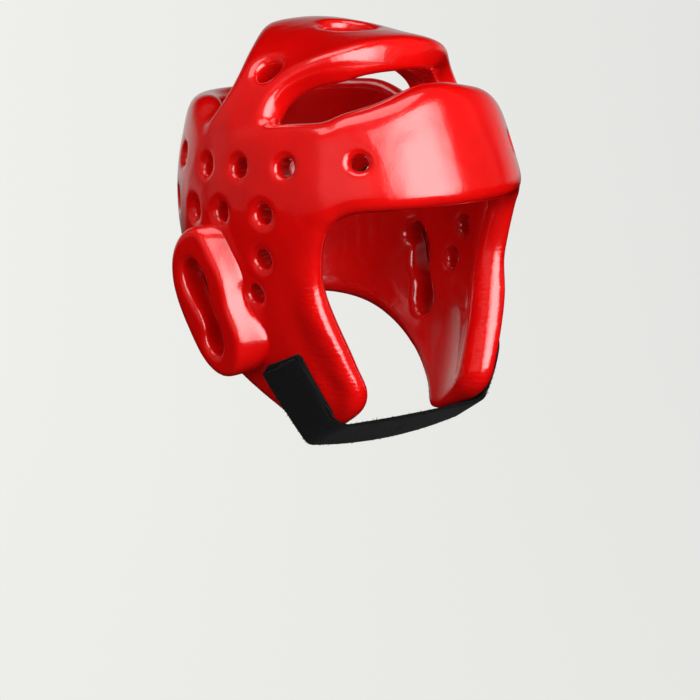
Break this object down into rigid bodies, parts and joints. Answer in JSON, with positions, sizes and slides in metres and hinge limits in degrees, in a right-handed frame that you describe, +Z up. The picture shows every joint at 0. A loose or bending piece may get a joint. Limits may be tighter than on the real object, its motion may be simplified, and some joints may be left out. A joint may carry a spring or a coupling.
{
  "type": "boxing headgear",
  "caption": "Open-face sparring headgear: dipped foam pads with vent holes, figure-of-eight ear guards, an arched crown pad and a hook-and-loop chin strap.",
  "frame": {"origin": "middle of the head cavity, level with the upper row of vent holes", "axes": "+Z up along the wearer's head; -Y the way the wearer faces; -X the wearer's right, the near side of the picture"},
  "size_m": [0.2156, 0.2264, 0.2477],
  "materials": {
    "dipped_foam": "glossy vinyl dip over closed-cell foam",
    "loop_fabric": "brushed loop pile",
    "hook_tape": "fine moulded hooks",
    "webbing": "woven elastic webbing"
  },
  "bodies": {
    "shell": {"forehead_pad": "dipped_foam", "rear_pad": "dipped_foam", "crown_pad": "dipped_foam", "side_panel_right": "dipped_foam", "side_panel_left": "dipped_foam", "cheek_pad_right": "dipped_foam", "cheek_pad_left": "dipped_foam", "cheek_roll_right": "dipped_foam", "cheek_roll_left": "dipped_foam", "ear_guard_right": "dipped_foam", "ear_guard_left": "dipped_foam", "loop_patch_right": "loop_fabric", "loop_patch_left": "loop_fabric", "hook_patch_left": "hook_tape", "strap_end_left": "webbing"},
    "strap": {"chin_strap": "webbing"},
    "tab": {"strap_end_right": "webbing", "hook_patch_right": "hook_tape"}
  },
  "joints": [
    {"name": "strap_swing", "type": "hinge", "parent": "shell", "child": "strap", "pos_m": [0.06061, -0.04134, -0.16534], "axis": [-0.1813, -0.9372, 0.2979], "range_deg": [0, 90]},
    {"name": "tab_peel", "type": "hinge", "parent": "strap", "child": "tab", "pos_m": [-0.06061, -0.04134, -0.16534], "axis": [0.1813, -0.9372, 0.2979], "range_deg": [0, 120]}
  ]
}
